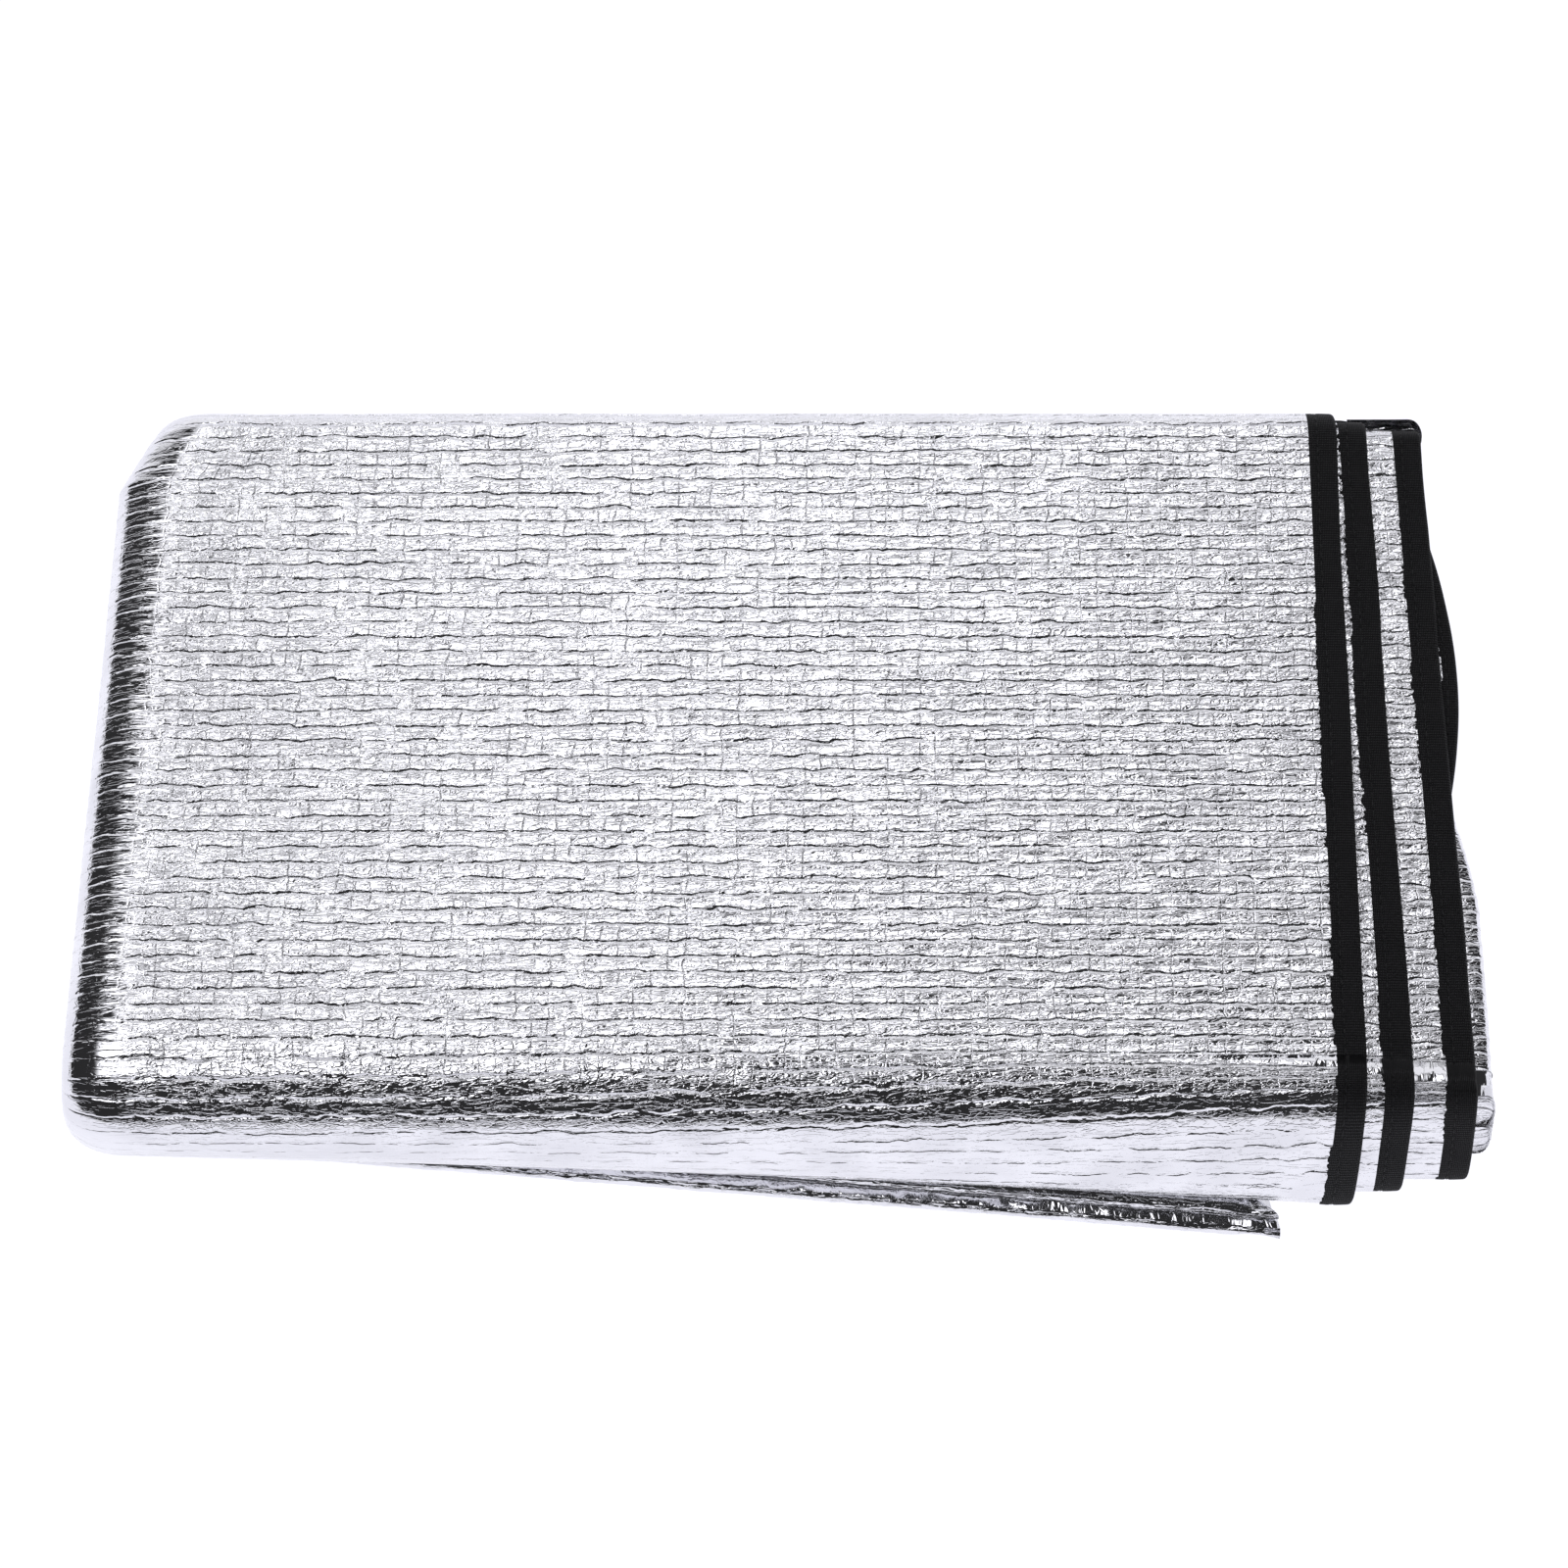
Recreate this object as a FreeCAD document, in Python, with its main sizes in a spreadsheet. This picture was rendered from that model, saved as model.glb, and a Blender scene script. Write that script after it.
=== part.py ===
"""Foam sleeping pad, a foil-faced foam mat folded into a flat pack (millimetres).

The mat is one laminate: a foam core with a metallised film on each face and a
sewn tape round its rim.  It lies folded in three packets:

    bottom   four plies, on the floor, with a closed tail that sticks out in front
    middle   eight plies, joined to the bottom flap by the back wrap
    top      eight plies, joined to the middle packet by the front wrap

+X is the side with the taped edges, +Y is the back and +Z is up.  The floor is
Z = 0.  Within a packet the plies are nested hairpins: two flat runs joined by a
half-round bend at the left, hairpin 1 outermost.
"""

import FreeCAD, Part

import os
import re

SIZES = {
    "ply": 3.5,                # one thickness of the laminate
    "film": 0.1,               # metallised film on each face
    "tape": 12.0,              # width of the binding seen on a face
    "wall": 0.5,               # thickness of the binding
    "thread": 0.4,             # width of the stitch line
    "seam_inset": 7.5,         # from the bound edge to the stitch line
    "slack": 0.4,              # air between packets, so that they unfold freely
    "flap_half": 7.0,          # half the height of the four-ply flap
    "packet_half": 14.0,       # half the height of an eight-ply packet
    "left_side": 265.0,        # centre line to the outside of the left bends
    "flap_left": 255.0,        # centre line to the left bend of the bottom flap
    "flap_right": 188.0,       # centre line to the right end of the bottom flap
    "edge_one": 216.0,         # centre line to each bound edge, topmost ply first
    "edge_two": 233.0,
    "edge_three": 255.5,
    "edge_four": 262.0,
    "fold_side": 265.0,        # centre line to the outside of the closed right folds
    "front_plane": 125.0,      # centre line to the plane of the front fold
    "back_plane": 155.0,       # centre line to the plane of the back fold
    "nose_run_left": 0.6,      # straight run of the front wrap before its half round
    "nose_run_right": 17.0,
    "tail_run_left": 0.6,      # the same for the closed tail of the bottom flap
    "tail_run_right": 36.0,
}

EDGES = ("edge_one", "edge_two", "edge_three", "edge_four")
WRAPPED_TAPES = 3
FLAP_HAIRPINS = 2
PACKET_HAIRPINS = 4

# Heights and ends that several sub-parts share, as expressions over the sheet.
FLAP_MID = "flap_half"
MIDDLE_MID = "flap_half * 2 + slack + packet_half"
TOP_MID = "flap_half * 2 + slack * 2 + packet_half * 3"
FRONT_END = "slack - front_plane"
BACK_END = "back_plane - slack"
TOP_BACK_END = "back_plane - slack - packet_half"

V = FreeCAD.Vector
HALF_TO_LEFT = FreeCAD.Rotation(V(0, 0, -1), V(-1, 0, 0), V(0, 1, 0), "ZXY")
HALF_TO_RIGHT = FreeCAD.Rotation(V(0, 0, 1), V(1, 0, 0), V(0, 1, 0), "ZXY")
HALF_TO_BACK = FreeCAD.Rotation(V(0, 0, -1), V(0, 1, 0), V(1, 0, 0), "ZXY")

doc = FreeCAD.newDocument("foam_sleeping_pad")
sheet = doc.addObject("Spreadsheet::Sheet", "Sizes")
for row, (alias, value) in enumerate(SIZES.items(), start=1):
    sheet.set(f"A{row}", alias)
    sheet.set(f"B{row}", str(value))
    sheet.setAlias(f"B{row}", alias)
doc.recompute()

subparts = []


def on_sheet(text):
    """Point every size named in an expression at its cell of the sheet."""
    return re.sub(r"[a-z][a-z_]*", lambda word: "Sizes." + word.group(0), text)


def bind(item, **properties):
    """Bind properties of an object to expressions over the sheet's sizes."""
    for name, text in properties.items():
        item.setExpression(name, on_sheet(text))


def place(item, x, y, z, rotation=None):
    """Turn an object and bind its place."""
    if rotation is not None:
        item.Placement = FreeCAD.Placement(V(), rotation)
    for axis, text in (("x", x), ("y", y), ("z", z)):
        item.setExpression(f"Placement.Base.{axis}", on_sheet(text))


def sub_part(item, label):
    """Name a finished object as a sub-part, and so its file."""
    item.Label = label
    subparts.append(item)
    return item


def box(x0, x1, y0, y1, z0, z1):
    """A box between two bounds on each axis."""
    item = doc.addObject("Part::Box", "Run")
    bind(item, Length=f"({x1}) - ({x0})", Width=f"({y1}) - ({y0})", Height=f"({z1}) - ({z0})")
    place(item, x0, y0, z0)
    return item


def half_disc(radius, length, x, y, z, rotation):
    """Half a cylinder, its axis from (x, y, z) along the turned Z axis."""
    item = doc.addObject("Part::Cylinder", "HalfDisc")
    item.Angle = 180
    bind(item, Radius=radius, Height=length)
    place(item, x, y, z, rotation)
    return item


def cut(base, tool):
    """The base with the tool taken out of it."""
    item = doc.addObject("Part::Cut", "Cut")
    item.Base = base
    item.Tool = tool
    return item


def fuse(pieces):
    """One solid of pieces that touch."""
    item = doc.addObject("Part::MultiFuse", "Fuse")
    item.Shapes = pieces
    item.Refine = True
    return item


def group(pieces, label):
    """A sub-part of several separate solids of one kind."""
    item = doc.addObject("Part::Compound", "Group")
    item.Links = pieces
    return sub_part(item, label)


def half_ring(outer, inner, length, x, y, z, rotation):
    """A half-round bend of even thickness; a full half disc where inner is None."""
    disc = half_disc(outer, length, x, y, z, rotation)
    if inner is None:
        return disc
    return cut(disc, half_disc(inner, length, x, y, z, rotation))


def layer_radii(half, index, layer):
    """Outer and inner distance of a layer of hairpin index from the packet's middle."""
    outside = f"{half} - ply * {index}"
    inside = f"{half} - ply * {index + 1}"
    if layer == "outer film":
        return outside, f"{outside} - film"
    if layer == "foam":
        return f"{outside} - film", f"{inside} + film"
    return f"{inside} + film", inside


class Packet:
    """A stack of nested hairpins: its middle height, ends and the way its edges face."""

    def __init__(self, name, mid, half, hairpins, left, bound_up):
        self.name = name
        self.mid = mid
        self.half = half
        self.hairpins = hairpins
        self.left = left
        self.bound_up = bound_up

    def level(self, distance, on_bound_side):
        """The height at a distance from the middle, towards or away from the bound plies."""
        sign = "+" if self.bound_up == on_bound_side else "-"
        return f"({self.mid}) {sign} ({distance})"

    def run(self, radii, on_bound_side, x1, y0, y1):
        """One flat run of a layer, from the bend to x1."""
        if self.bound_up == on_bound_side:
            low, high = self.level(radii[1], on_bound_side), self.level(radii[0], on_bound_side)
        else:
            low, high = self.level(radii[0], on_bound_side), self.level(radii[1], on_bound_side)
        return box(f"{self.half} - {self.left}", x1, y0, y1, low, high)

    def hairpin(self, index, layer, bound_x, closed_x, y0, y1):
        """Two runs of a layer and the bend that joins them at the left."""
        radii = layer_radii(self.half, index, layer)
        innermost = index == self.hairpins - 1 and layer == "inner film"
        length = f"({y1}) - ({y0})"
        bend = half_ring(radii[0], None if innermost else radii[1], length,
                         f"{self.half} - {self.left}", y0, self.mid, HALF_TO_LEFT)
        return [bend,
                self.run(radii, True, bound_x, y0, y1),
                self.run(radii, False, closed_x, y0, y1)]

    def films(self, closed_x, y0, y1, edges):
        """The outermost film alone, and every other film of the packet as one group."""
        inner = []
        for index in range(self.hairpins):
            for layer in ("outer film", "inner film"):
                pieces = self.hairpin(index, layer, edges[index], closed_x, y0, y1)
                if index == 0 and layer == "outer film":
                    sub_part(fuse(pieces), f"{self.name}_outer_film")
                else:
                    inner.append(fuse(pieces))
        group(inner, f"{self.name}_inner_films")

    def closed_fold(self, y0, y1):
        """The two right-hand bends that close the four plies away from the bound side."""
        centre = self.level(f"{self.half} / 2", False)
        x = f"fold_side - {self.half} / 2"
        length = f"({y1}) - ({y0})"
        foam = []
        film = []
        for index in range(2):
            for layer, pieces in (("outer film", film), ("foam", foam), ("inner film", film)):
                radii = layer_radii(f"{self.half} / 2", index, layer)
                inside = None if index == 1 and layer == "inner film" else radii[1]
                pieces.append(half_ring(radii[0], inside, length, x, y0, centre, HALF_TO_RIGHT))
        group(foam, f"{self.name}_right_fold_foam")
        group(film, f"{self.name}_right_fold_film")


def bound_edge(packet, index, y0, y1):
    """The tape over one bound edge, the pressed foam tongue in it, and its stitch line."""
    edge = EDGES[index]
    radii = (f"{packet.half} - ply * {index}", f"{packet.half} - ply * {index + 1}")
    low_first = packet.bound_up
    low = packet.level(radii[1] if low_first else radii[0], True)
    high = packet.level(radii[0] if low_first else radii[1], True)
    tongue = box(f"{edge} - tape", f"{edge} - wall", y0, y1, f"{low} + wall", f"{high} - wall")
    slot = box(f"{edge} - tape", f"{edge} - wall", y0, y1, f"{low} + wall", f"{high} - wall")
    outside = box(f"{edge} - tape", edge, y0, y1, low, high)
    seam_x = (f"{edge} - seam_inset", f"{edge} - seam_inset + thread")
    if packet.bound_up:
        seam_z = (f"{high} - wall / 2", high)
    else:
        seam_z = (low, f"{low} + wall / 2")
    thread = box(*seam_x, y0, y1, *seam_z)
    groove = box(*seam_x, y0, y1, *seam_z)
    return cut(cut(outside, slot), groove), tongue, thread


def folded_packet(packet, bound_y1):
    """The foam, films, tapes and stitch lines of an eight-ply packet."""
    face_ends = [f"{edge} - tape" for edge in EDGES]
    closed_x = f"fold_side - {packet.half} / 2"
    threads = []
    for index in range(packet.hairpins):
        tape, tongue, thread = bound_edge(packet, index, FRONT_END, bound_y1)
        pieces = packet.hairpin(index, "foam", face_ends[index], closed_x, FRONT_END, bound_y1)
        sub_part(fuse(pieces + [tongue]), f"{packet.name}_foam_{index + 1}")
        sub_part(tape, f"{packet.name}_binding_{index + 1}")
        threads.append(thread)
    packet.films(closed_x, FRONT_END, bound_y1, face_ends)
    packet.closed_fold(FRONT_END, bound_y1)
    return threads


def top_packet():
    """The upper packet, whose back end is closed by four nested bends."""
    packet = Packet("top", TOP_MID, "packet_half", PACKET_HAIRPINS, "left_side", True)
    for index, thread in enumerate(folded_packet(packet, TOP_BACK_END), start=1):
        sub_part(thread, f"top_stitching_{index}")
    foam = []
    film = []
    for index in range(PACKET_HAIRPINS):
        x0 = "packet_half - left_side"
        right = EDGES[index] + (" - tape" if index < WRAPPED_TAPES else "")
        for layer, pieces in (("outer film", film), ("foam", foam), ("inner film", film)):
            radii = layer_radii("packet_half", index, layer)
            inside = None if index == PACKET_HAIRPINS - 1 and layer == "inner film" else radii[1]
            pieces.append(half_ring(radii[0], inside, f"{right} - ({x0})", x0, TOP_BACK_END,
                                    TOP_MID, HALF_TO_BACK))
    group(foam, "top_back_fold_foam")
    group(film, "top_back_fold_film")
    for index in range(WRAPPED_TAPES):
        ring = half_ring(f"packet_half - ply * {index}", f"packet_half - ply * {index + 1}", "tape",
                         f"{EDGES[index]} - tape", TOP_BACK_END, TOP_MID, HALF_TO_BACK)
        sub_part(ring, f"top_back_binding_{index + 1}")


def middle_packet():
    """The packet between the two wraps; its bound plies face down and its end is taped."""
    packet = Packet("middle", MIDDLE_MID, "packet_half", PACKET_HAIRPINS, "left_side", False)
    end = f"{BACK_END} - tape"
    group(folded_packet(packet, end), "middle_stitching")
    tapes = []
    for index in range(2 * PACKET_HAIRPINS):
        low = f"{MIDDLE_MID} - packet_half + ply * {index}"
        tapes.append(box("packet_half - left_side", "edge_one - tape", end, BACK_END,
                         low, f"{low} + ply"))
    group(tapes, "middle_end_binding")


def bottom_flap():
    """The flap that the pack lies on."""
    packet = Packet("bottom", FLAP_MID, "flap_half", FLAP_HAIRPINS, "flap_left", True)
    ends = ["flap_right"] * FLAP_HAIRPINS
    for index in range(FLAP_HAIRPINS):
        pieces = packet.hairpin(index, "foam", "flap_right", "flap_right", FRONT_END, BACK_END)
        sub_part(fuse(pieces), f"bottom_foam_{index + 1}")
    packet.films("flap_right", FRONT_END, BACK_END, ends)


def size(alias):
    """A driving size read back from the sheet."""
    return float(sheet.get(alias))


def nose_outline(x, run, outer, inner, mid, plane, towards):
    """A U in the plane of constant X: two straight runs and a half round, as a closed wire."""
    bend_y = plane + towards * run
    points = [V(x, plane, mid + outer), V(x, bend_y, mid + outer),
              V(x, bend_y + towards * outer, mid), V(x, bend_y, mid - outer),
              V(x, plane, mid - outer), V(x, plane, mid - inner),
              V(x, bend_y, mid - inner), V(x, bend_y + towards * inner, mid),
              V(x, bend_y, mid + inner), V(x, plane, mid + inner)]
    edges = [Part.LineSegment(points[0], points[1]).toShape(),
             Part.Arc(points[1], points[2], points[3]).toShape(),
             Part.LineSegment(points[3], points[4]).toShape(),
             Part.LineSegment(points[4], points[5]).toShape(),
             Part.LineSegment(points[5], points[6]).toShape(),
             Part.Arc(points[6], points[7], points[8]).toShape(),
             Part.LineSegment(points[8], points[9]).toShape(),
             Part.LineSegment(points[9], points[0]).toShape()]
    return Part.Wire(edges)


def nose(x_span, run_span, radii, mid, plane, towards=-1):
    """A wrap whose straight run grows evenly from its left end to its right end."""
    wires = []
    for x, run in zip(x_span, run_span):
        wires.append(nose_outline(x, run, radii[0], radii[1], mid, plane, towards))
    return Part.makeLoft(wires, True, True)


def feature(shapes, label):
    """A sub-part from shapes that were worked out here."""
    item = doc.addObject("Part::Feature", "Nose")
    item.Shape = shapes[0] if len(shapes) == 1 else Part.makeCompound(shapes)
    return sub_part(item, label)


def run_at(x, left_x, right_x, left_run, right_run):
    """The straight run of a skewed wrap at a place along X."""
    return left_run + (right_run - left_run) * (x - left_x) / (right_x - left_x)


def skewed_nose(radii, x_span, reach, runs, mid, plane):
    """A wrap cut from a skewed fold that spans reach, between two places along X."""
    run_span = [run_at(x, reach[0], reach[1], runs[0], runs[1]) for x in x_span]
    return nose(x_span, run_span, radii, mid, plane)


def nested_radii(half, index, film):
    """Outer and inner radius of the foam, outer film and inner film of one bend."""
    outside = half - size("ply") * index
    inside = max(outside - size("ply"), 2 * film)
    return {"foam": (outside - film, inside + film),
            "outer film": (outside, outside - film),
            "inner film": (inside + film, inside)}


def front_wrap():
    """Eight plies that go round from the top packet to the middle one, with their tapes."""
    mid = 2 * size("flap_half") + 1.5 * size("slack") + 2 * size("packet_half")
    half = 2 * size("packet_half") + size("slack") / 2
    film = size("film")
    reach = (-size("left_side"), size("fold_side"))
    runs = (size("nose_run_left"), size("nose_run_right"))
    left = size("packet_half") - size("left_side")
    plane = -size("front_plane")
    foam = []
    inner_films = []
    for index in range(2 * PACKET_HAIRPINS):
        radii = nested_radii(half, index, film)
        right = size(EDGES[index]) - size("tape") if index < WRAPPED_TAPES else size("edge_four")
        span = (left, right)
        foam.append(skewed_nose(radii["foam"], span, reach, runs, mid, plane))
        outer_film = skewed_nose(radii["outer film"], span, reach, runs, mid, plane)
        if index == 0:
            feature([outer_film], "front_wrap_outer_film")
        else:
            inner_films.append(outer_film)
        inner_films.append(skewed_nose(radii["inner film"], span, reach, runs, mid, plane))
        if index < WRAPPED_TAPES:
            tape_radii = (radii["outer film"][0], radii["inner film"][1])
            tape_span = (right, size(EDGES[index]))
            tape = skewed_nose(tape_radii, tape_span, reach, runs, mid, plane)
            feature([tape], f"front_wrap_binding_{index + 1}")
    feature(foam, "front_wrap_foam")
    feature(inner_films, "front_wrap_inner_films")


def tail():
    """The closed front end of the bottom flap, set askew to the rest of the pack."""
    film = size("film")
    reach = (-size("flap_left"), size("flap_right"))
    span = (size("flap_half") - size("flap_left"), size("flap_right"))
    runs = (size("tail_run_left"), size("tail_run_right"))
    foam = []
    films = []
    for index in range(FLAP_HAIRPINS):
        radii = nested_radii(size("flap_half"), index, film)
        plane = -size("front_plane") + size("slack")
        for layer, pieces in (("foam", foam), ("outer film", films), ("inner film", films)):
            pieces.append(skewed_nose(radii[layer], span, reach, runs, size("flap_half"), plane))
    feature(foam, "tail_foam")
    feature(films, "tail_films")


def back_wrap():
    """Four plies that go round from the bottom flap to the lower half of the middle packet."""
    film = size("film")
    half = 2 * size("flap_half") + size("slack") / 2
    span = (size("flap_half") - size("flap_left"), size("flap_right"))
    plane = size("back_plane") - size("slack")
    foam = []
    films = []
    for index in range(2 * FLAP_HAIRPINS):
        radii = nested_radii(half, index, film)
        for layer, pieces in (("foam", foam), ("outer film", films), ("inner film", films)):
            pieces.append(nose(span, (0.1, 0.1), radii[layer], half, plane, 1))
    feature(foam, "back_wrap_foam")
    feature(films, "back_wrap_films")


def check_and_write():
    """Stop on any failed object or bad shape, then write one file for each sub-part."""
    doc.recompute()
    for item in doc.Objects:
        if "Invalid" in item.State or "Error" in item.State:
            raise RuntimeError(f"{item.Name} ({item.Label}) failed: {item.State}")
    for item in subparts:
        if item.Shape.isNull() or not item.Shape.isValid() or not item.Shape.Solids:
            raise RuntimeError(f"{item.Label} has no valid solid")
    os.makedirs("parts", exist_ok=True)
    for item in subparts:
        item.Shape.exportStep(f"parts/{item.Label}.step")
        bounds = item.Shape.BoundBox
        print(f"{item.Label:28s} solids {len(item.Shape.Solids):2d}  "
              f"x {bounds.XMin:7.1f} {bounds.XMax:7.1f}  y {bounds.YMin:7.1f} {bounds.YMax:7.1f}  "
              f"z {bounds.ZMin:5.1f} {bounds.ZMax:5.1f}")


top_packet()
middle_packet()
bottom_flap()
front_wrap()
tail()
back_wrap()
check_and_write()
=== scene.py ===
"""Foam sleeping pad: the looks of a foil-faced foam mat that lies folded in a pack.

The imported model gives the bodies, the sizes and the places.  Every soft layer is
a surface carried along the way that the laminate runs: round the back, over the
top, round the front wrap and under it.
"""

import logging
import math
from dataclasses import dataclass, replace
from enum import Enum

import bmesh
import bpy
import numpy as np
from bpy.types import Material, NodeTree, Object
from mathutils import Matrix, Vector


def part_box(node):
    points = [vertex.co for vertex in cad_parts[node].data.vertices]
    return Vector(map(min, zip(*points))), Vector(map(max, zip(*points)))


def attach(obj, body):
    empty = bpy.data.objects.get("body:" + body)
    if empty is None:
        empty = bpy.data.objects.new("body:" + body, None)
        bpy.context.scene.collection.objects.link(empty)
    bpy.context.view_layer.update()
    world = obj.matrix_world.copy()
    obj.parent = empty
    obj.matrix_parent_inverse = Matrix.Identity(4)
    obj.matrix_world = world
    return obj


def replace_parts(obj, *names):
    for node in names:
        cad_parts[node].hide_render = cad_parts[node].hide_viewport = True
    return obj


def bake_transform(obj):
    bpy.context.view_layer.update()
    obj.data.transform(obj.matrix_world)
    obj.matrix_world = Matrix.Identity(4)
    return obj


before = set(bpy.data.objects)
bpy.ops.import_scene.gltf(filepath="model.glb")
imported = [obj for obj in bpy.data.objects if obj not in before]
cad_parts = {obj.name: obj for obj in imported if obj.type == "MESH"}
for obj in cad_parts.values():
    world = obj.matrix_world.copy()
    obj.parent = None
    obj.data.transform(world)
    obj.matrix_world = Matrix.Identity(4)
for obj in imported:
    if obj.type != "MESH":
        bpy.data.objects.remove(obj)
Array = np.ndarray
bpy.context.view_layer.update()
LOG = logging.getLogger("foam_pad")

MM = 0.001
BOTTOM = "bottom_flap"
MIDDLE = "middle_packet"
TOP = "top_packet"
CELL = 6.5 * MM             # pitch of the cells pressed into the film
BACK_SWELL = 5.0 * MM       # how far the back bend's film stands out behind the foam
LEFT_STRETCH = 1.5          # depth of the left bend against its height
LEFT_SLANT = 4.0 * MM       # how far the left side has moved out at the front
BACK_CORNER = 10.0 * MM     # how far the left corner is drawn in at the back
PROUD = 0.45 * MM           # how far the film stands off the foam that carries it
SHOWN_UNDER = 0.8 * MM      # how far the film runs on under the tape beside it
PLIES = 8                   # plies in a packet
UV_UNIT = 0.1               # metres of film to one unit of the UV map


class Slot(Enum):
    """The record's material slots."""

    FILM = "foil_film"
    FOAM = "foam_core"
    TAPE = "edge_binding"
    THREAD = "stitch_thread"


# ---- numbers


class Noise:
    """Smooth value noise in two dimensions, from -1 to 1, on a seeded lattice."""

    def __init__(self, seed: int, size: int = 512) -> None:
        """Fill the lattice.

        Args:
            seed: picks the lattice's values.
            size: lattice points along a side, after which the noise repeats.
        """
        self.size = size
        self.lattice = np.random.default_rng(seed).uniform(-1.0, 1.0, (size, size))

    def at(self, u: Array, v: Array) -> Array:
        """Value at (u, v): the four lattice values around it, mixed by smoothstep weights."""
        iu = np.floor(u).astype(int)
        iv = np.floor(v).astype(int)
        fu = u - iu
        fv = v - iv
        fu = fu * fu * (3 - 2 * fu)
        fv = fv * fv * (3 - 2 * fv)
        i0, i1 = iu % self.size, (iu + 1) % self.size
        j0, j1 = iv % self.size, (iv + 1) % self.size
        low = self.lattice[i0, j0] * (1 - fu) + self.lattice[i1, j0] * fu
        high = self.lattice[i0, j1] * (1 - fu) + self.lattice[i1, j1] * fu
        return low * (1 - fv) + high * fv

    def octaves(self, u: Array, v: Array, count: int = 3) -> Array:
        """Sum of octaves, each twice as fine and half as strong as the one before."""
        total = np.zeros_like(u)
        for octave in range(count):
            total += self.at(u * 2 ** octave + 17.3 * octave, v * 2 ** octave) / 2 ** octave
        return total


def smooth(value: Array, low: float, high: float) -> Array:
    """Smoothstep: 0 up to low, 1 from high, a soft S between them."""
    t = np.clip((value - low) / (high - low), 0.0, 1.0)
    return t * t * (3 - 2 * t)


def spaced(start: float, end: float, step: float) -> Array:
    """Evenly spaced numbers from start to end, no further apart than step."""
    count = max(2, int(math.ceil(abs(end - start) / step)) + 1)
    return np.linspace(start, end, count)


# ---- meshes


def mesh_object(name: str, verts: Array, quads: Array, uv: Array | None = None) -> Object:
    """A smooth-shaded object from whole arrays.

    Args:
        name: the piece's name.
        verts: points, n by 3.
        quads: corner numbers, one row for each face.
        uv: one UV pair for each point, or None.

    Returns:
        The new object, linked into the scene at the origin.
    """
    mesh = bpy.data.meshes.new(name)
    mesh.from_pydata(verts.tolist(), [], quads.tolist())
    if uv is not None:
        layer = mesh.uv_layers.new(name="film")
        corners = np.zeros(len(mesh.loops), np.int32)
        mesh.loops.foreach_get("vertex_index", corners)
        layer.data.foreach_set("uv", uv[corners].astype(np.float32).ravel())
    mesh.polygons.foreach_set("use_smooth", np.ones(len(mesh.polygons), bool))
    mesh.update()
    piece = bpy.data.objects.new(name, mesh)
    bpy.context.scene.collection.objects.link(piece)
    return piece


def grid_quads(rows: int, columns: int, wrap: bool = False, flip: bool = False) -> Array:
    """Faces of a grid of points: each joins a point to the next along and across.

    Args:
        rows: points along.
        columns: points across.
        wrap: whether the last column joins the first.
        flip: turn the faces over.

    Returns:
        Corner numbers, four to a face.
    """
    across = columns if wrap else columns - 1
    r, c = np.meshgrid(np.arange(rows - 1), np.arange(across), indexing="ij")
    nxt = (c + 1) % columns
    quads = np.stack([r * columns + c, r * columns + nxt,
                      (r + 1) * columns + nxt, (r + 1) * columns + c], axis=-1).reshape(-1, 4)
    return quads[:, ::-1] if flip else quads


def surface_normals(points: Array) -> Array:
    """Unit normals of a grid: along-difference crossed with across-difference."""
    along = np.gradient(points, axis=0)
    across = np.gradient(points, axis=1)
    normal = np.cross(across, along)
    return normal / np.maximum(np.linalg.norm(normal, axis=-1, keepdims=True), 1e-12)


def points_of(x: Array, y: Array, z: Array) -> Array:
    """Points with a last axis of 3, from places that are spread to one shape."""
    return np.stack(np.broadcast_arrays(x, y, z), axis=-1)


def film_uv(across: Array, along: Array) -> Array:
    """One UV pair for each point, from distances that are spread to one shape."""
    return np.stack(np.broadcast_arrays(across, along), axis=-1).reshape(-1, 2) / UV_UNIT


def weld(piece: Object, distance: float) -> None:
    """Merge points that lie within a distance of each other."""
    work = bmesh.new()
    work.from_mesh(piece.data)
    bmesh.ops.remove_doubles(work, verts=work.verts, dist=distance)
    work.to_mesh(piece.data)
    work.free()


@dataclass(frozen=True)
class FaceList:
    """Quads and triangles of one mesh."""

    quads: Array
    triangles: Array

    def tolist(self) -> list:
        """Every face as a list of corner numbers."""
        return self.quads.tolist() + self.triangles.tolist()


# ---- the way the laminate runs


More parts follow.
